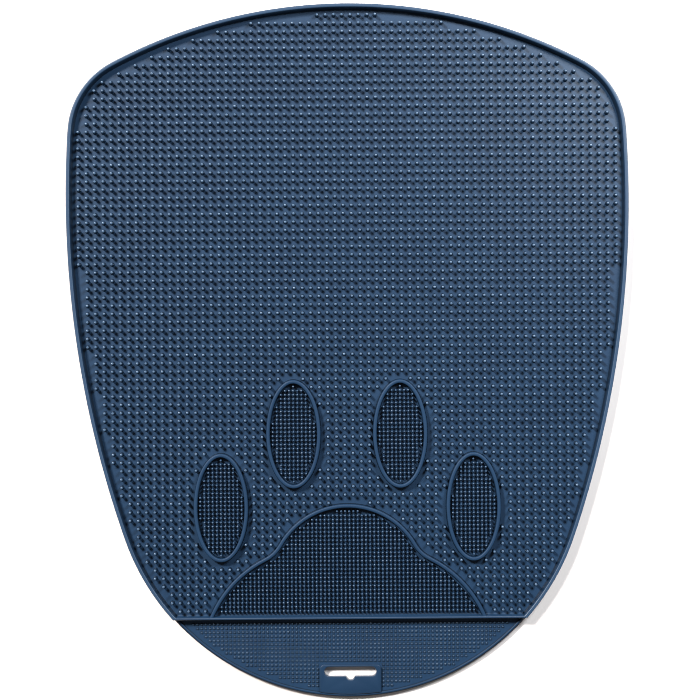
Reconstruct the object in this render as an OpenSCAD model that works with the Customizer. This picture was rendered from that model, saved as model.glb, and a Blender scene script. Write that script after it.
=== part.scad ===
// Paw-cleaning floor mat, one rubber moulding: a shield-shaped sheet with a raised
// rim, a bristle field, a paw print of ringed toe and heel pads, and a low front lip
// that carries a hang tab. It lies flat, top side up, with the lip towards -Y.
// Every ridge, bristle and nub stands on the sheet's top face.

/* [Outline] */
// Length from the back edge to the front edge
mat_l = 426; // [420:1:436]
// Width at the widest level
mat_w = 345; // [340:1:350]
// Distance of the widest level behind the middle
widest_y = 93.4; // [88:0.2:98]
// Radius of the back edge
back_r = 311; // [300:1:325]
// Radius of the two shoulders
shoulder_r = 50; // [42:1:56]
// Radius of the front edge
front_r = 145.5; // [144:0.5:147]

/* [Heights above the floor] */
// Top of the sheet
sheet_t = 2.4; // [2:0.1:2.8]
// Top of the rim and the cross wall
rim_h = 8; // [7.4:0.1:9]
// Top of the toe and heel rings
ring_h = 6.8; // [6:0.1:7]
// Top of the lip's edge bead
bead_h = 3.6; // [3.2:0.1:4]
// Top of the hang tab
tab_h = 4.3; // [4:0.1:5]
// Tips of the field's bristles
bristle_h = 7.2; // [6:0.1:7.4]
// Tips of the fine bristles inside the rings
fine_h = 6.2; // [5:0.1:6.6]
// Tips of the lip's nubs
nub_h = 3.3; // [3:0.1:3.6]

/* [Ridges] */
// Thickness of the rim and the cross wall
wall_t = 1.8; // [1.4:0.1:2.4]
// Thickness of the swell at the foot of the rim and the cross wall
foot_t = 2.8; // [2.5:0.1:3.2]
// Height of that swell above the sheet
foot_h = 1; // [0.6:0.1:1.4]
// Thickness of the toe and heel rings
ring_t = 2.4; // [1.8:0.1:2.8]
// Width of the lip's edge bead
bead_t = 2; // [1.5:0.1:2.5]
// Distance of the cross wall's front face in front of the middle
wall_front = 164.6; // [162:0.2:168]

/* [Paw print] */
// Distance of the paw print's middle to the right of the mat's centre line
paw_x = -1.2; // [-2:0.1:2]
// Half width of a toe oval, to the middle of its ring
toe_a = 15.6; // [14.6:0.1:16]
// Half length of a toe oval, to the middle of its ring
toe_b = 32.2; // [31:0.1:33]
// Distance of the inner toes from the paw print's middle
inner_toe_x = 32.8; // [31:0.1:33.5]
// Distance of the inner toes in front of the middle
inner_toe_y = 51; // [49:1:53]
// Distance of the outer toes from the paw print's middle
outer_toe_x = 77.6; // [77:0.1:80]
// Distance of the outer toes in front of the middle
outer_toe_y = 96; // [94:1:97]
// Length of the heel pad along the centre line
heel_l = 68.5; // [67:0.1:73]
// Radius of the heel pad's dome
dome_r = 47.5; // [45:0.5:48]
// Radius of the heel pad's waist
waist_r = 21.5; // [20:0.5:23]
// Radius of the heel pad's lobes
lobe_r = 70.7; // [69:0.1:72]
// Distance of the lobes' centres in front of the cross wall
lobe_drop = 27.4; // [26:0.1:29]
// Half width of the heel pad at the cross wall
heel_foot = 84; // [83:0.5:85]

/* [Bristles] */
// Spacing of the field's bristles
pitch = 5.08; // [5:0.02:5.6]
// Spacing of the fine bristles and of the lip's nubs
fine_pitch = 2.54; // [2.5:0.02:2.8]
// Diameter of a field bristle at its foot
bristle_foot = 2.2; // [2:0.1:2.8]
// Diameter of a field bristle at its tip
bristle_tip = 1.5; // [1.2:0.1:1.9]
// Diameter of a fine bristle at its foot
fine_foot = 1.6; // [1.4:0.1:1.8]
// Diameter of a fine bristle at its tip
fine_tip = 1; // [0.8:0.1:1.3]
// Diameter of a lip nub at its foot
nub_foot = 1.5; // [1.2:0.1:1.7]
// Diameter of a lip nub at its tip
nub_tip = 0.8; // [0.6:0.1:1.1]
// Distance from the back edge to the first row of bristles
first_row = 6.6; // [6:0.1:9]
// Least distance from the mat's edge to a field bristle
edge_gap = 6; // [5.4:0.1:7]
// Least distance from the mat's edge to a lip nub
lip_gap = 4.6; // [4:0.1:6]
// Least distance from the middle of a ring or the cross wall to a field bristle
ring_gap = 3.1; // [2.9:0.1:5]
// Least distance from the middle of the heel or a toe ring to a fine bristle
fine_gap = 2.5; // [2.3:0.1:3]
// Distance from the middle of the cross wall back to the heel's first row of fine bristles
heel_first_row = 4.2; // [2.5:0.1:5]
// Distance from the middle of the cross wall to the lip's first row of nubs
lip_first_row = 4.1; // [2.5:0.1:5]

/* [Hang tab] */
// Width of the tab
tab_w = 37.5; // [36:0.5:40]
// Distance of the tab's back edge in front of the middle
tab_y = 193; // [192.5:0.1:193.5]
// Corner radius of the tab
tab_r = 3; // [2:0.5:4]
// Length of the hang slot
slot_l = 32; // [30:0.5:33]
// Width of the hang slot
slot_w = 6; // [5.4:0.1:6.6]
// Distance of the slot's middle in front of the middle
slot_y = 197.2; // [197:0.1:198]
// Radius of the peg notch in the slot's front edge
notch_r = 2.7; // [2.5:0.1:2.9]
// Depth of the peg notch
notch_d = 2.3; // [1.8:0.1:2.4]

/* [Hidden] */
navy = [0.2, 0.28, 0.38];
sag = 0.04;         // how far a drawn arc's chords may stray from the true arc
cut = 1;            // how far a cutting tool runs past the face it cuts
half_l = mat_l / 2;
half_w = mat_w / 2;
wall_back_y = wall_t - wall_front;     // the cross wall's back face
wall_y = wall_t / 2 - wall_front;      // the cross wall's middle

// arcs are [centre, radius, start angle, end angle, 1 if the inside is the centre's side or -1]
back_c = [0, half_l - back_r];
front_c = [0, front_r - half_l];
side_r = (half_w^2 + (widest_y - front_c.y)^2 - front_r^2) / (2 * (half_w - front_r));
side_c = [half_w - side_r, widest_y];
shoulder_c = circles_meet(side_c, side_r - shoulder_r, back_c, back_r - shoulder_r);
front_a = heading(side_c, front_c);
side_a = heading(side_c, shoulder_c);
shoulder_a = heading(back_c, shoulder_c);
side_arc = [side_c, side_r, front_a, side_a, 1];
shoulder_arc = [shoulder_c, shoulder_r, side_a, shoulder_a, 1];
back_arc = [back_c, back_r, shoulder_a, 90, 1];

// the heel ring's right half, from its dome's top down to the lobe, measured from the print's middle
dome_c = [0, wall_y + heel_l - dome_r];
lobe_c = [heel_foot - sqrt(lobe_r^2 - lobe_drop^2), wall_y - lobe_drop];
waist_c = circles_meet(dome_c, dome_r + waist_r, lobe_c, lobe_r + waist_r);
dome_a = heading(dome_c, waist_c);
lobe_a = heading(lobe_c, waist_c);

TOES = [
  [paw_x - outer_toe_x, -outer_toe_y], [paw_x - inner_toe_x, -inner_toe_y],
  [paw_x + inner_toe_x, -inner_toe_y], [paw_x + outer_toe_x, -outer_toe_y]
];

// grid lines of the bristles: field columns stand half a space either side of the centre line
half_columns = floor(half_w / pitch);
COLUMNS = [for (i = [-half_columns : half_columns - 1]) (i + 0.5) * pitch];
ROWS = [for (y = [half_l - first_row : -pitch : wall_y + ring_gap]) y];
back_rows_end = 85;    // the field's bristles are in three bands of rows, split at these levels
middle_rows_end = -15;

// ---- plane geometry ----

// direction from one point to another, in degrees
function heading(from, to) = atan2(to.y - from.y, to.x - from.x);

// where two circles cross, on the left of the line from the first centre to the second
function circles_meet(c1, r1, c2, r2) =
  let (v = c2 - c1, d = norm(v))
  let (along = (d^2 + r1^2 - r2^2) / (2 * d), off = sqrt(r1^2 - along^2))
  c1 + (along * v + off * [-v.y, v.x]) / d;

// points along an arc set in by d, without its end point
function arc_points(arc, d) =
  let (turn = arc[3] - arc[2], n = ceil(abs(turn) / (2 * acos(1 - sag / arc[1]))))
  let (r = arc[1] - arc[4] * d)
  [for (i = [0 : n - 1]) let (a = arc[2] + turn * i / n) arc[0] + r * [cos(a), sin(a)]];

// a right half's points, closed by its mirror image; the last point lies on the centre line
function with_mirror(half) = concat(half, [for (i = [len(half) - 2 : -1 : 0]) [-half[i].x, half[i].y]]);

function reversed(list) = [for (i = [len(list) - 1 : -1 : 0]) list[i]];

// the front edge's angle at level y, set in by d
function front_angle(y, d) = asin((y - front_c.y) / (front_r - d));

// the mat's right edge set in by d, from the cross wall's back face up to the shoulder, without
// its end point
function side_run(d) = concat(
  arc_points([front_c, front_r, front_angle(wall_back_y, d), front_a, 1], d),
  arc_points(side_arc, d)
);

// the mat's edge set in by d, from the start of the right shoulder to the middle of the back
function shoulder_run(d) = concat(arc_points(shoulder_arc, d), arc_points(back_arc, d), [[0, half_l - d]]);

// the mat's edge set in by d, from the cross wall's front face on the right round to the left
function front_run(d) = with_mirror([
  each arc_points([front_c, front_r, front_angle(-wall_front, d), -90, 1], d),
  [0, d - half_l]
]);

// the heel ring's line set in by d, from level y on the right over the dome to the left, measured
// from the print's middle
function heel_run(y, d) = with_mirror([
  each arc_points([lobe_c, lobe_r, asin((y - lobe_c.y) / (lobe_r - d)), lobe_a, 1], d),
  each arc_points([waist_c, waist_r, lobe_a + 180, dome_a + 180, -1], d),
  each arc_points([dome_c, dome_r, dome_a, 90, 1], d),
  [0, dome_c.y + dome_r - d]
]);

// distance from a point inside the mat to the mat's edge
function edge_room(p) =
  let (q = [abs(p.x), p.y])
  heading(front_c, q) < front_a ? front_r - norm(q - front_c) :
  heading(shoulder_c, q) > side_a && heading(shoulder_c, q) < shoulder_a ?
    shoulder_r - norm(q - shoulder_c) :
  heading(back_c, q) > shoulder_a ? back_r - norm(q - back_c) :
  side_r - norm(q - side_c);

// distance from a point to the heel ring's line, negative outside the ring
function heel_room(p) =
  let (q = [abs(p.x - paw_x), p.y])
  heading(dome_c, q) > dome_a ? dome_r - norm(q - dome_c) :
  heading(lobe_c, q) < lobe_a ? lobe_r - norm(q - lobe_c) :
  norm(q - waist_c) - waist_r;

// is a point inside the oval that lies d outside a toe ring's line?
function in_toe(p, toe, d) = ((p.x - toe.x) / (toe_a + d))^2 + ((p.y - toe.y) / (toe_b + d))^2 < 1;

function in_field(p) =
  edge_room(p) > edge_gap && heel_room(p) < -ring_gap &&
  len([for (toe = TOES) if (in_toe(p, toe, ring_gap)) toe]) == 0;

function in_tab(p) = abs(p.x) < tab_w / 2 + nub_foot && p.y < nub_foot - tab_y;

// ---- shapes ----

// a band between two runs of points, from the sheet's top up to z
module band(outer, inner, z) {
  translate([0, 0, sheet_t]) linear_extrude(z - sheet_t) polygon(concat(outer, reversed(inner)));
}

module slot_outline() {
  translate([0, -slot_y]) {
    square([slot_l - slot_w, slot_w], center = true);
    for (side = [-1, 1]) translate([side * (slot_l - slot_w) / 2, 0]) circle(d = slot_w, $fn = 48);
    translate([0, notch_r - notch_d - slot_w / 2]) circle(notch_r, $fn = 48);
  }
}

module hang_slot() {
  translate([0, 0, -cut]) linear_extrude(tab_h + 2 * cut) slot_outline();
}

module toe_oval(d) {
  scale([toe_a + d, toe_b + d]) circle(1, $fn = 180);
}

// tapered bristles at a list of points, from the sheet's top up to z
module bristles(points, foot, tip, z) {
  color(navy) for (p = points) translate([p.x, p.y, sheet_t])
    cylinder(d1 = foot, d2 = tip, h = z - sheet_t, $fn = 24);
}

// ---- the mat's regions ----

module base_sheet() {
  color(navy) difference() {
    linear_extrude(sheet_t)
      polygon(concat(with_mirror(concat(side_run(0), shoulder_run(0))), reversed(front_run(0))));
    hang_slot();
  }
}

module rim_right() {
  function run(d) = concat(side_run(d), [shoulder_run(d)[0]]);
  color(navy) {
    band(run(0), run(wall_t), rim_h);
    band(run(0), run(foot_t), sheet_t + foot_h);
  }
}

module rim_left() {
  mirror([1, 0, 0]) rim_right();
}

module rim_back() {
  function run(d) = with_mirror(shoulder_run(d));
  color(navy) {
    band(run(0), run(wall_t), rim_h);
    band(run(0), run(foot_t), sheet_t + foot_h);
  }
}

// the wall's ends lie on the mat's edge, between the rim's two ends and the lip bead's
module cross_wall() {
  front_x = sqrt(front_r^2 - (-wall_front - front_c.y)^2);
  back_x = sqrt(front_r^2 - (wall_back_y - front_c.y)^2);
  color(navy) translate([0, 0, sheet_t]) linear_extrude(rim_h - sheet_t) polygon([
    [-front_x, -wall_front], [front_x, -wall_front], [back_x, wall_back_y], [-back_x, wall_back_y]
  ]);
}

module lip_bead() {
  color(navy) band(front_run(0), front_run(bead_t), bead_h);
}

module hang_tab() {
  color(navy) difference() {
    translate([0, 0, sheet_t]) linear_extrude(tab_h - sheet_t) intersection() {
      polygon(front_run(bead_t));
      union() {
        translate([tab_r - tab_w / 2, -half_l]) square([tab_w - 2 * tab_r, half_l - tab_y]);
        translate([-tab_w / 2, -half_l]) square([tab_w, half_l - tab_y - tab_r]);
        for (side = [-1, 1])
          translate([side * (tab_w / 2 - tab_r), -tab_y - tab_r]) circle(tab_r, $fn = 48);
      }
    }
    hang_slot();
  }
}

module toe_ring(toe) {
  color(navy) translate([toe.x, toe.y, sheet_t]) linear_extrude(ring_h - sheet_t) difference() {
    toe_oval(ring_t / 2);
    toe_oval(-ring_t / 2);
  }
}

module heel_ring() {
  color(navy) translate([paw_x, 0, 0])
    band(heel_run(wall_back_y, -ring_t / 2), heel_run(wall_back_y, ring_t / 2), ring_h);
}

// the field's bristles in the rows from one level up to another
module field_bristles(low, high) {
  points = [for (y = ROWS, x = COLUMNS) if (y >= low && y < high && in_field([x, y])) [x, y]];
  bristles(points, bristle_foot, bristle_tip, bristle_h);
}

// a toe's columns start on its centre line, and its rows half a space either side of its middle
module toe_bristles(toe) {
  columns = ceil(toe_a / fine_pitch);
  rows = ceil(toe_b / fine_pitch);
  grid = [for (j = [-rows : rows - 1], i = [-columns : columns]) toe + fine_pitch * [i, j + 0.5]];
  bristles([for (p = grid) if (in_toe(p, toe, -fine_gap)) p], fine_foot, fine_tip, fine_h);
}

module heel_bristles() {
  columns = ceil(heel_foot / fine_pitch);
  rows = floor(heel_l / fine_pitch);
  grid = [for (j = [0 : rows], i = [-columns : columns]) fine_pitch * [i, j]];
  points = [for (p = grid) p + [0, wall_y + heel_first_row]];
  bristles([for (p = points) if (heel_room(p) > fine_gap) p], fine_foot, fine_tip, fine_h);
}

module lip_nubs() {
  columns = ceil(front_r / fine_pitch);
  rows = floor((half_l - wall_front) / fine_pitch);
  grid = [for (j = [0 : rows], i = [-columns : columns]) fine_pitch * [i, -j]];
  points = [for (p = grid) p + [0, wall_y - lip_first_row]];
  bristles([for (p = points) if (edge_room(p) > lip_gap && !in_tab(p)) p], nub_foot, nub_tip, nub_h);
}

base_sheet();
rim_left();
rim_back();
rim_right();
cross_wall();
lip_bead();
hang_tab();
toe_ring(TOES[0]);  // toe_ring_outer_left
toe_ring(TOES[1]);  // toe_ring_inner_left
toe_ring(TOES[2]);  // toe_ring_inner_right
toe_ring(TOES[3]);  // toe_ring_outer_right
heel_ring();
field_bristles(back_rows_end, half_l);  // back_bristles
field_bristles(middle_rows_end, back_rows_end);  // middle_bristles
field_bristles(wall_y, middle_rows_end);  // front_bristles
toe_bristles(TOES[0]);  // toe_bristles_outer_left
toe_bristles(TOES[1]);  // toe_bristles_inner_left
toe_bristles(TOES[2]);  // toe_bristles_inner_right
toe_bristles(TOES[3]);  // toe_bristles_outer_right
heel_bristles();
lip_nubs();
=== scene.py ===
"""Looks of the moulded paw-cleaning mat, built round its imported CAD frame.

Every piece stands where its CAD node stands: bristles on the CAD's bristles, ridges along
the CAD's outlines. Heights and distances inside a piece are in millimetres. Colours, light
powers and gloss are fitted to one photo, and are not measured values.
"""
import math
import random

import bmesh
import bpy
import numpy as np
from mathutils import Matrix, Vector
from mathutils.geometry import tessellate_polygon


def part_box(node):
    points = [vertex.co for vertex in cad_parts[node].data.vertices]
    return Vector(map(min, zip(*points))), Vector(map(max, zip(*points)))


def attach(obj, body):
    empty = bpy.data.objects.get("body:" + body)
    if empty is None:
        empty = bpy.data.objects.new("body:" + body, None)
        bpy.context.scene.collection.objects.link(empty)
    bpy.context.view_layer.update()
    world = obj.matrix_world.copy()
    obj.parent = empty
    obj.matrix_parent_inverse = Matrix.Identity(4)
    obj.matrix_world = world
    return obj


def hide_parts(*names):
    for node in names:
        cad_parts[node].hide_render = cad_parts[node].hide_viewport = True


MM = 0.001
STEPS_PER_MM = 200  # CAD vertices that round to the same step are taken as one point
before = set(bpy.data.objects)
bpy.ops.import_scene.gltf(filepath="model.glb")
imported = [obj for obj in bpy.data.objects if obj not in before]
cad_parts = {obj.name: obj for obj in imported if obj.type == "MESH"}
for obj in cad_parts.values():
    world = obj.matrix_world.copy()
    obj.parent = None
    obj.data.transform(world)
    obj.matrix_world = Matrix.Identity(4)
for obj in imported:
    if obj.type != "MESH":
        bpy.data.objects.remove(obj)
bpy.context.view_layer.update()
random.seed(7)

SHEET_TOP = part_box("base_sheet")[1].z / MM
SUNK = SHEET_TOP - 0.1  # height of a ridge's or bristle's lowest points, inside the sheet
RIM_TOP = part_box("rim_back")[1].z / MM
RING_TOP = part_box("heel_ring")[1].z / MM
RING_T = 2.4  # thickness of the toe and heel rings
BEAD_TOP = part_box("lip_bead")[1].z / MM
TAB_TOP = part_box("hang_tab")[1].z / MM


# ---- reading the CAD ----

def merged(node):
    """A CAD node's mesh with its split vertices joined."""
    bm = bmesh.new()
    bm.from_mesh(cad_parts[node].data)
    bmesh.ops.remove_doubles(bm, verts=bm.verts, dist=0.002 * MM)
    return bm


def area(loop):
    return sum(a.x * b.y - b.x * a.y for a, b in zip(loop, loop[1:] + loop[:1])) / 2


def outlines(node, z):
    """The closed outlines of a CAD node's flat face at height z, longest first, in millimetres,
    each running anticlockwise."""
    bm = merged(node)
    flat = {f for f in bm.faces if all(abs(v.co.z / MM - z) < 0.01 for v in f.verts)}
    step = {}
    for edge in bm.edges:
        if sum(f in flat for f in edge.link_faces) == 1:
            a, b = edge.verts
            step.setdefault(a, []).append(b)
            step.setdefault(b, []).append(a)
    loops = []
    left = set(step)
    while left:
        here = min(left, key=lambda v: (v.co.y, v.co.x))
        loop = []
        while here is not None:
            left.discard(here)
            loop.append(Vector((here.co.x / MM, here.co.y / MM)))
            here = next((v for v in step[here] if v in left), None)
        loops.append(loop if area(loop) > 0 else loop[::-1])
    bm.free()
    return sorted(loops, key=lambda l: -abs(area(l)))


def stretch(loop, inside):
    """The points of a closed outline that pass a test, in their order along it."""
    first = next(i for i in range(len(loop)) if inside(loop[i]) and not inside(loop[i - 1]))
    return [point for point in loop[first:] + loop[:first] if inside(point)]


def turn(a, b, c):
    """How far a path turns at b, in degrees."""
    return math.degrees((b - a).angle(c - b, 0))


def longest_run(loop):
    """The longest stretch of a closed outline between two sharp corners, ends included."""
    n = len(loop)
    sharp = [i for i in range(n) if turn(loop[i - 1], loop[i], loop[(i + 1) % n]) > 40]
    runs = []
    for i, j in zip(sharp, sharp[1:] + [sharp[0] + n]):
        runs.append([loop[k % n] for k in range(i, j + 1)])
    return max(runs, key=lambda run: sum((b - a).length for a, b in zip(run, run[1:])))


def centres(node):
    """The middle of each separate solid of a CAD node, in millimetres."""
    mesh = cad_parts[node].data
    co = np.empty(len(mesh.vertices) * 3)
    mesh.vertices.foreach_get("co", co)
    co = co.reshape(-1, 3) / MM
    ends = np.empty(len(mesh.edges) * 2, int)
    mesh.edges.foreach_get("vertices", ends)
    grid = np.round(co * STEPS_PER_MM).astype(int)
    spots, place = np.unique(grid, axis=0, return_inverse=True)
    a, b = place.ravel()[ends.reshape(-1, 2)].T
    label = np.arange(len(spots))
    while True:
        low = label.copy()
        np.minimum.at(low, a, label[b])
        np.minimum.at(low, b, label[a])
        low = low[low]
        if (low == label).all():
            break
        label = low
    names, group = np.unique(label, return_inverse=True)
    group = group.ravel()
    top = np.full((len(names), 3), -1e9)
    bottom = np.full((len(names), 3), 1e9)
    np.maximum.at(top, group, spots / STEPS_PER_MM)
    np.minimum.at(bottom, group, spots / STEPS_PER_MM)
    return ((top + bottom) / 2)[:, :2]


# ---- making meshes ----

def smooth_path(points, step, closed=False):
    """Points about a step apart on the smooth curve through the given points."""
    n = len(points)
    legs = n if closed else n - 1

    def heading(i):
        before, here, after = points[(i - 1) % n], points[i % n], points[(i + 1) % n]
        if not closed and i == 0:
            return (after - here).normalized()
        if not closed and i == n - 1:
            return (here - before).normalized()
        back, ahead = here - before, after - here
        mixed = back / back.length_squared + ahead / ahead.length_squared
        return mixed.normalized()

    path = []
    for i in range(legs):
        p, q = points[i], points[(i + 1) % n]
        span = (q - p).length
        m0, m1 = heading(i) * span, heading(i + 1) * span
        pieces = max(1, round(span / step))
        for k in range(pieces):
            t = k / pieces
            path.append((2 * t**3 - 3 * t**2 + 1) * p + (t**3 - 2 * t**2 + t) * m0
                        + (3 * t**2 - 2 * t**3) * q + (t**3 - t**2) * m1)
    return path if closed else path + [points[-1]]


def inward_normals(path, closed):
    """The direction to the left of a path at each of its points."""
    n = len(path)
    normals = []
    for i in range(n):
        before = path[i - 1] if closed or i > 0 else path[i]
        after = path[(i + 1) % n] if closed or i < n - 1 else path[i]
        along = (after - before).normalized()
        normals.append(Vector((-along.y, along.x)))
    return normals


def make(name, node, verts, faces, material, sharp=35):
    """One piece, riding on the mat in place of its CAD node. verts are in millimetres."""
    mesh = bpy.data.meshes.new(name)
    mesh.from_pydata([(x * MM, y * MM, z * MM) for x, y, z in verts], [], faces)
    bm = bmesh.new()
    bm.from_mesh(mesh)
    bmesh.ops.recalc_face_normals(bm, faces=bm.faces)
    bm.to_mesh(mesh)
    bm.free()
    mesh.shade_smooth()
    mesh.set_sharp_from_angle(angle=math.radians(sharp))
    piece = bpy.data.objects.new(name, mesh)
    bpy.context.scene.collection.objects.link(piece)
    mesh.materials.append(material)
    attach(piece, "root")
    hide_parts(*([node] if isinstance(node, str) else node))


def sweep(path, profile, closed):
    """The skin of a profile of (distance in, height) points carried along a path."""
    verts, faces = [], []
    for point, normal in zip(path, inward_normals(path, closed)):
        verts += [(*(point + normal * d), z) for d, z in profile]
    n, m = len(path), len(profile)
    for i in range(n if closed else n - 1):
        j = (i + 1) % n
        for k in range(m):
            up = (k + 1) % m
            faces.append((i * m + k, j * m + k, j * m + up, i * m + up))
    if not closed:
        faces.append(tuple(range(m)))
        faces.append(tuple(range((n - 1) * m, n * m)))
    return verts, faces


def plate(loops, low, high, round_low, round_high):
    """A flat plate between two heights, its first loop the outline and the others holes, with
    its lower and upper edges rounded by the given radii."""
    def edge(radius, top):
        if radius == 0:
            return [(0, high if top else low)]
        arc = [math.radians(a) for a in (0, 22.5, 45, 67.5, 90)]
        side = [(radius * (1 - math.cos(a)), radius * (1 - math.sin(a))) for a in arc]
        return [(d, high - z) for d, z in side] if top else [(d, low + z) for d, z in side[::-1]]

    profile = edge(round_low, False) + edge(round_high, True)
    verts, faces, rings = [], [], []
    for number, loop in enumerate(loops):
        first = len(verts)
        inside = 1 if number == 0 else -1
        for point, normal in zip(loop, inward_normals(loop, True)):
            verts += [(*(point + normal * d * inside), z) for d, z in profile]
        n, m = len(loop), len(profile)
        for i in range(n):
            j = (i + 1) % n
            for k in range(m - 1):
                faces.append((first + i * m + k, first + j * m + k,
                              first + j * m + k + 1, first + i * m + k + 1))
        rings.append([[first + i * m + level for i in range(n)] for level in (0, m - 1)])
    for level in (0, 1):
        flat = [ring[level] for ring in rings]
        order = [i for ring in flat for i in ring]
        shape = [[Vector((verts[i][0], verts[i][1], 0)) for i in ring] for ring in flat]
        faces += [tuple(order[i] for i in triangle) for triangle in tessellate_polygon(shape)]
    return verts, faces


def bed(node, profile, sides, material, lean=0.012, uneven=0.02):
    """Bristles of one profile, of (radius, height) points from foot to tip, on every solid
    of a CAD node. Each leans and stands a little differently, as moulded rubber does."""
    spots = centres(node)
    rows = len(profile)
    turns = np.arange(sides) * 2 * np.pi / sides
    heights = np.repeat([z for r, z in profile[:-1]], sides)
    radii = np.repeat([r for r, z in profile[:-1]], sides)
    ring_x = radii * np.tile(np.cos(turns), rows - 1)
    ring_y = radii * np.tile(np.sin(turns), rows - 1)
    x = np.append(ring_x, 0)
    y = np.append(ring_y, 0)
    z = np.append(heights, profile[-1][1])
    faces_one = []
    for k in range(rows - 2):
        for i in range(sides):
            j = (i + 1) % sides
            low, high = k * sides, (k + 1) * sides
            faces_one.append((low + i, low + j, high + j, high + i))
    last = (rows - 2) * sides
    for i in range(sides):
        faces_one.append((last + i, last + (i + 1) % sides, (rows - 1) * sides))
    verts, faces = [], []
    foot = profile[0][1]
    for cx, cy in spots:
        lean_x, lean_y = random.gauss(0, lean), random.gauss(0, lean)
        shorter = 1 - min(abs(random.gauss(0, uneven)), 0.06)
        up = foot + (z - foot) * shorter
        first = len(verts)
        verts += zip(cx + x + lean_x * (up - foot), cy + y + lean_y * (up - foot), up)
        faces += [tuple(first + i for i in face) for face in faces_one]
    make(node + "_moulded", node, verts, faces, material, sharp=75)


# ---- material ----

def mapped(nodes, links, value, before, after):
    """A value carried from one range of numbers to another, clamped at both ends."""
    carried = nodes.new("ShaderNodeMapRange")
    carried.inputs["From Min"].default_value, carried.inputs["From Max"].default_value = before
    carried.inputs["To Min"].default_value, carried.inputs["To Max"].default_value = after
    links.new(value, carried.inputs["Value"])
    return carried.outputs["Result"]


def rubber(name, roughness, grain=0.35, top=None, shade_span=0, foot=0.12, painted_highlight=0, highlight_depth=0.5,
           depth=1, gloss=0.4):
    """Satin moulded rubber: cloudy navy, a fine matt grain, and small changes in its sheen.
    depth scales the colour. With a top height, the colour is scaled by foot up to shaded, a
    share of the height above the sheet, and rises to 1 at the top: painted shade, darker
    towards the feet, standing in for the dark gaps, and not a property of rubber. Over the
    last highlight_depth of height the colour fades by up to rub towards a pale colour: a painted
    highlight on tops and tips."""
    material = bpy.data.materials.new(name)
    material.use_nodes = True
    nodes, links = material.node_tree.nodes, material.node_tree.links
    shader = nodes["Principled BSDF"]
    place = nodes.new("ShaderNodeTexCoord")
    cloud = nodes.new("ShaderNodeTexNoise")
    cloud.inputs["Scale"].default_value = 28
    cloud.inputs["Detail"].default_value = 5
    cloud.inputs["Roughness"].default_value = 0.6
    links.new(place.outputs["Object"], cloud.inputs["Vector"])
    tint = nodes.new("ShaderNodeValToRGB")
    tint.color_ramp.elements[0].position = 0.3
    tint.color_ramp.elements[0].color = (*(part * depth for part in DEEP_NAVY), 1)
    tint.color_ramp.elements[1].position = 0.7
    tint.color_ramp.elements[1].color = (*(part * depth for part in PALE_NAVY), 1)
    links.new(cloud.outputs["Fac"], tint.inputs["Fac"])
    fine = nodes.new("ShaderNodeTexNoise")
    fine.inputs["Scale"].default_value = 1 / (0.35 * MM)
    fine.inputs["Detail"].default_value = 3
    links.new(place.outputs["Object"], fine.inputs["Vector"])
    if top is None:
        links.new(tint.outputs["Color"], shader.inputs["Base Color"])
    else:
        # painted shade: the colour is scaled down to foot towards the feet
        split = nodes.new("ShaderNodeSeparateXYZ")
        links.new(place.outputs["Object"], split.inputs["Vector"])
        low = SHEET_TOP + shade_span * (top - SHEET_TOP)
        shade = nodes.new("ShaderNodeVectorMath")
        shade.operation = "SCALE"
        links.new(tint.outputs["Color"], shade.inputs[0])
        shade_scale = mapped(nodes, links, split.outputs["Z"], (low * MM, top * MM), (foot, 1))
        links.new(shade_scale, shade.inputs["Scale"])
        # painted highlight: the colour pales towards the top
        highlighted = nodes.new("ShaderNodeMix")
        highlighted.data_type = "RGBA"
        tip = ((top - highlight_depth) * MM, top * MM)
        links.new(mapped(nodes, links, split.outputs["Z"], tip, (0, painted_highlight)), highlighted.inputs["Factor"])
        links.new(shade.outputs["Vector"], highlighted.inputs["A"])
        highlighted.inputs["B"].default_value = (*PAINTED_HIGHLIGHT_COLOUR, 1)
        links.new(highlighted.outputs["Result"], shader.inputs["Base Color"])
    sheen = (roughness - 0.05, roughness + 0.07)
    links.new(mapped(nodes, links, fine.outputs["Fac"], (0, 1), sheen), shader.inputs["Roughness"])
    bump = nodes.new("ShaderNodeBump")
    bump.inputs["Strength"].default_value = grain
    bump.inputs["Distance"].default_value = 0.03 * MM
    links.new(fine.outputs["Fac"], bump.inputs["Height"])
    links.new(bump.outputs["Normal"], shader.inputs["Normal"])
    shader.inputs["Specular IOR Level"].default_value = gloss
    return material


FLOOR_WHITE = (0.665, 0.6, 0.565)  # set by trial, for a near neutral shadow beside the mat
DEEP_NAVY = (0.0068, 0.0215, 0.048)
PALE_NAVY = (0.0085, 0.026, 0.056)
# pale colour painted on tops and tips: a painted highlight
PAINTED_HIGHLIGHT_COLOUR = (0.06, 0.098, 0.15)
FIELD_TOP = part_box("back_bristles")[1].z / MM
FINE_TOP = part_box("heel_bristles")[1].z / MM
NUB_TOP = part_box("lip_nubs")[1].z / MM
SHEET_RUBBER = rubber("rubber_sheet", 0.36)
# rim: darker towards its foot, painted shade; its top edge paler, a painted highlight
RIM_RUBBER = rubber("rubber_rim", 0.36, top=RIM_TOP, shade_span=0.5, foot=0.4, painted_highlight=0.2,
                    highlight_depth=0.3)
WALL_RUBBER = rubber("rubber_wall", 0.4)
# rings: darker towards their feet, painted shade
RING_RUBBER = rubber("rubber_ring", 0.5, top=RING_TOP, shade_span=0.3, foot=0.3, gloss=0.15)
TAB_RUBBER = rubber("rubber_tab", 0.34, depth=0.92)
# lip bead: darker towards its foot, painted shade
BEAD_RUBBER = rubber("rubber_bead", 0.5, top=BEAD_TOP, shade_span=0.6, foot=0.25, gloss=0.12)
# field bristles: darker towards their feet, painted shade; paler tips, a painted highlight
BRISTLE_RUBBER = rubber("rubber_bristle", 0.26, 0.15, FIELD_TOP, shade_span=0.6, foot=0.4, painted_highlight=0.9,
                        highlight_depth=0.7)
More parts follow.
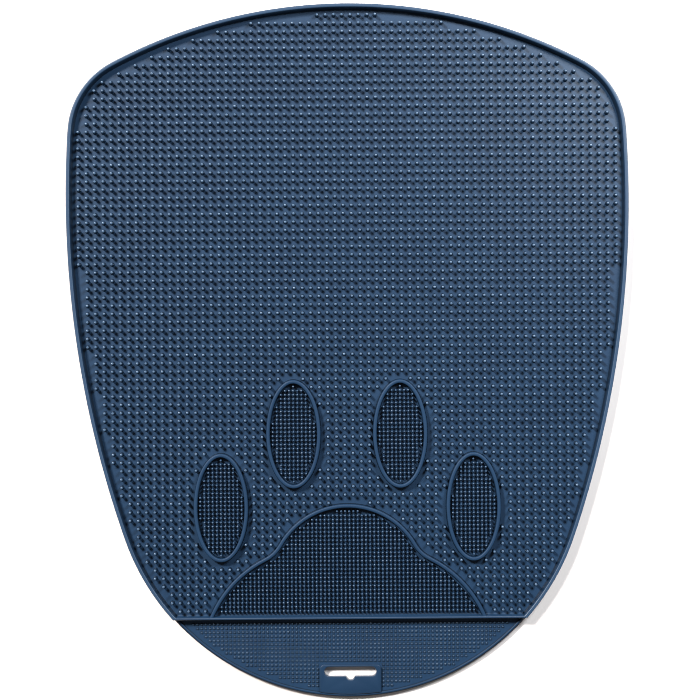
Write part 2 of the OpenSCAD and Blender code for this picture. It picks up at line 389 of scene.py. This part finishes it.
# fine bristles: darker towards their feet, painted shade; paler tips, a painted highlight
FINE_RUBBER = rubber("rubber_fine", 0.26, 0.15, FINE_TOP, shade_span=0.5, foot=0.8, painted_highlight=0.45,
                     highlight_depth=0.6)
# lip nubs: darker towards their feet, painted shade; paler tips, a painted highlight
NUB_RUBBER = rubber("rubber_nub", 0.3, 0.15, NUB_TOP, shade_span=0.2, foot=0.05, painted_highlight=0.35,
                    highlight_depth=0.3)


# ---- the mat's regions ----

def base_sheet():
    outer, slot = outlines("base_sheet", SHEET_TOP)
    loops = [smooth_path(outer, 3, closed=True), slot]
    verts, faces = plate(loops, 0, SHEET_TOP, 0.5, 0)
    make("base_sheet_moulded", "base_sheet", verts, faces, SHEET_RUBBER)


def rim():
    outline = outlines("base_sheet", SHEET_TOP)[0]
    wall_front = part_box("cross_wall")[0].y / MM
    path = smooth_path(stretch(outline, lambda p: p.y > wall_front - 0.01), 2)
    top, foot = RIM_TOP, SHEET_TOP
    profile = [
        (0, foot), (0.02, top - 0.4), (0.08, top - 0.15), (0.24, top - 0.03), (0.5, top),
        (1.5, top), (1.85, top - 0.06), (2.1, top - 0.25), (2.3, top - 0.7), (2.5, top - 1.6),
        (2.7, foot + 2), (2.85, foot + 1), (3, foot + 0.4), (3.2, foot + 0.1), (3.4, SUNK)
    ]
    verts, faces = sweep(path, profile, closed=False)
    make("rim_moulded", ("rim_left", "rim_back", "rim_right"), verts, faces, RIM_RUBBER)


def cross_wall():
    low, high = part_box("cross_wall")
    reach = 2.2
    path = [Vector((low.x / MM + reach, low.y / MM)), Vector((high.x / MM - reach, low.y / MM))]
    top, foot = RIM_TOP, SHEET_TOP
    profile = [
        (-0.7, SUNK), (-0.3, foot + 0.2), (-0.1, foot + 0.6), (0, foot + 1.2), (0.12, top - 0.6),
        (0.22, top - 0.25), (0.45, top - 0.05), (0.75, top), (1.1, top - 0.03), (1.4, top - 0.2),
        (1.55, top - 0.5), (1.75, foot + 1.2), (1.95, foot + 0.6), (2.3, foot + 0.2), (2.8, SUNK)
    ]
    verts, faces = sweep(smooth_path(path, 5), profile, closed=False)
    make("cross_wall_moulded", "cross_wall", verts, faces, WALL_RUBBER)


def ring_profile():
    top, foot, wide = RING_TOP, SHEET_TOP, RING_T
    half = [
        (-0.45, SUNK), (-0.15, foot + 0.25), (-0.02, foot + 0.8), (0.06, top - 0.7),
        (0.2, top - 0.34), (0.5, top - 0.1), (0.9, top)
    ]
    return half + [(wide - d, z) for d, z in half[::-1]]


def toe_ring(node):
    low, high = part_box(node)
    middle, reach = (low + high) / 2 / MM, (high - low) / 2 / MM
    angles = [2 * math.pi * i / 120 for i in range(120)]
    path = [Vector((middle.x + reach.x * math.cos(a), middle.y + reach.y * math.sin(a)))
            for a in angles]
    verts, faces = sweep(path, ring_profile(), closed=True)
    make(node + "_moulded", node, verts, faces, RING_RUBBER)


def heel_ring():
    path = smooth_path(longest_run(outlines("heel_ring", RING_TOP)[0]), 1.5)
    verts, faces = sweep(path, ring_profile(), closed=False)
    make("heel_ring_moulded", "heel_ring", verts, faces, RING_RUBBER)


def lip_bead():
    outline = outlines("base_sheet", SHEET_TOP)[0]
    wall_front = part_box("cross_wall")[0].y / MM
    path = smooth_path(stretch(outline, lambda p: p.y < wall_front + 0.01), 2)
    top, foot = BEAD_TOP, SHEET_TOP
    profile = [
        (0, foot), (0.2, foot + 0.5), (0.55, top - 0.4), (0.9, top - 0.12), (1.25, top),
        (1.6, top - 0.04), (1.9, top - 0.16), (2.12, top - 0.36), (2.2, foot + 0.1), (2.3, SUNK)
    ]
    verts, faces = sweep(path, profile, closed=False)
    make("lip_bead_moulded", "lip_bead", verts, faces, BEAD_RUBBER)


def hang_tab():
    loops = outlines("hang_tab", TAB_TOP)
    verts, faces = plate(loops, SHEET_TOP, TAB_TOP, 0, 0.35)
    make("hang_tab_moulded", "hang_tab", verts, faces, TAB_RUBBER)


FIELD_PROFILE = [
    (1.5, SUNK), (1.15, SHEET_TOP + 0.3), (1.02, SHEET_TOP + 1), (0.94, FIELD_TOP - 1),
    (0.86, FIELD_TOP - 0.45), (0.66, FIELD_TOP - 0.14), (0.36, FIELD_TOP - 0.03), (0, FIELD_TOP)
]
FINE_PROFILE = [
    (1, SUNK), (0.86, SHEET_TOP + 0.3), (0.66, FINE_TOP - 0.5), (0.54, FINE_TOP - 0.16),
    (0.3, FINE_TOP - 0.03), (0, FINE_TOP)
]
NUB_PROFILE = [
    (0.95, SUNK), (0.8, SHEET_TOP + 0.25), (0.62, NUB_TOP - 0.2), (0.4, NUB_TOP - 0.05),
    (0, NUB_TOP)
]


def bristles():
    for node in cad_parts:
        if node in ("back_bristles", "middle_bristles", "front_bristles"):
            bed(node, FIELD_PROFILE, 12, BRISTLE_RUBBER)
        elif "bristles" in node:
            bed(node, FINE_PROFILE, 10, FINE_RUBBER)
        elif node == "lip_nubs":
            bed(node, NUB_PROFILE, 10, NUB_RUBBER)


base_sheet()
rim()
cross_wall()
lip_bead()
hang_tab()
for cad_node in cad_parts:
    if cad_node.startswith("toe_ring"):
        toe_ring(cad_node)
heel_ring()
bristles()


# ---- studio ----

def floor():
    """A plain pale ground under the mat."""
    size = 3
    mesh = bpy.data.meshes.new("floor")
    mesh.from_pydata([(-size, -size, 0), (size, -size, 0), (size, size, 0), (-size, size, 0)],
                     [], [(0, 1, 2, 3)])
    ground = bpy.data.objects.new("floor", mesh)
    bpy.context.scene.collection.objects.link(ground)
    material = bpy.data.materials.new("floor_white")
    material.use_nodes = True
    shader = material.node_tree.nodes["Principled BSDF"]
    shader.inputs["Base Color"].default_value = (*FLOOR_WHITE, 1)
    shader.inputs["Roughness"].default_value = 0.9
    mesh.materials.append(material)


def area_light(name, place, size, power, colour=(1, 1, 1)):
    light = bpy.data.lights.new(name, "AREA")
    light.shape = "DISK"
    light.size = size
    light.energy = power
    light.color = colour
    lamp = bpy.data.objects.new(name, light)
    lamp.location = place
    lamp.rotation_euler = (-Vector(place)).to_track_quat("-Z", "Y").to_euler()
    bpy.context.scene.collection.objects.link(lamp)


def dark_ceiling():
    """White light from all round, fading to nearly none straight above."""
    world = bpy.data.worlds.new("studio")
    world.use_nodes = True
    nodes, links = world.node_tree.nodes, world.node_tree.links
    nodes["Background"].inputs["Color"].default_value = (1, 1, 1, 1)
    place = nodes.new("ShaderNodeTexCoord")
    split = nodes.new("ShaderNodeSeparateXYZ")
    links.new(place.outputs["Generated"], split.inputs["Vector"])
    fade = nodes.new("ShaderNodeMapRange")
    fade.inputs["From Min"].default_value = 0.5
    fade.inputs["From Max"].default_value = 0.9
    fade.inputs["To Min"].default_value = 0.4
    fade.inputs["To Max"].default_value = 0.06
    links.new(split.outputs["Z"], fade.inputs["Value"])
    links.new(fade.outputs["Result"], nodes["Background"].inputs["Strength"])
    bpy.context.scene.world = world


def studio():
    floor()
    area_light("key", place=(-2, 2, 2.8), size=0.8, power=375)
    area_light("second", place=(0.5, 0.5, 0.75), size=0.35, power=17, colour=(0.85, 0.93, 1))
    dark_ceiling()
    bpy.context.scene.view_settings.view_transform = "Standard"
    bpy.context.scene.cycles.filter_width = 1


def camera():
    """Looks straight down. view is the width of the picture at the height of the rim's top;
    the small shift and roll put the mat where the photo has it."""
    height, view = 1.05, 0.4287
    shift_x, shift_y, roll = 1.1, 0.5, -0.4
    data = bpy.data.cameras.new("camera")
    data.sensor_width = 36
    data.lens = data.sensor_width * (height - RIM_TOP * MM) / view
    eye = bpy.data.objects.new("camera", data)
    eye.location = (shift_x * MM, shift_y * MM, height)
    eye.rotation_euler = (0, 0, math.radians(roll))
    bpy.context.scene.collection.objects.link(eye)
    bpy.context.scene.camera = eye


studio()
camera()
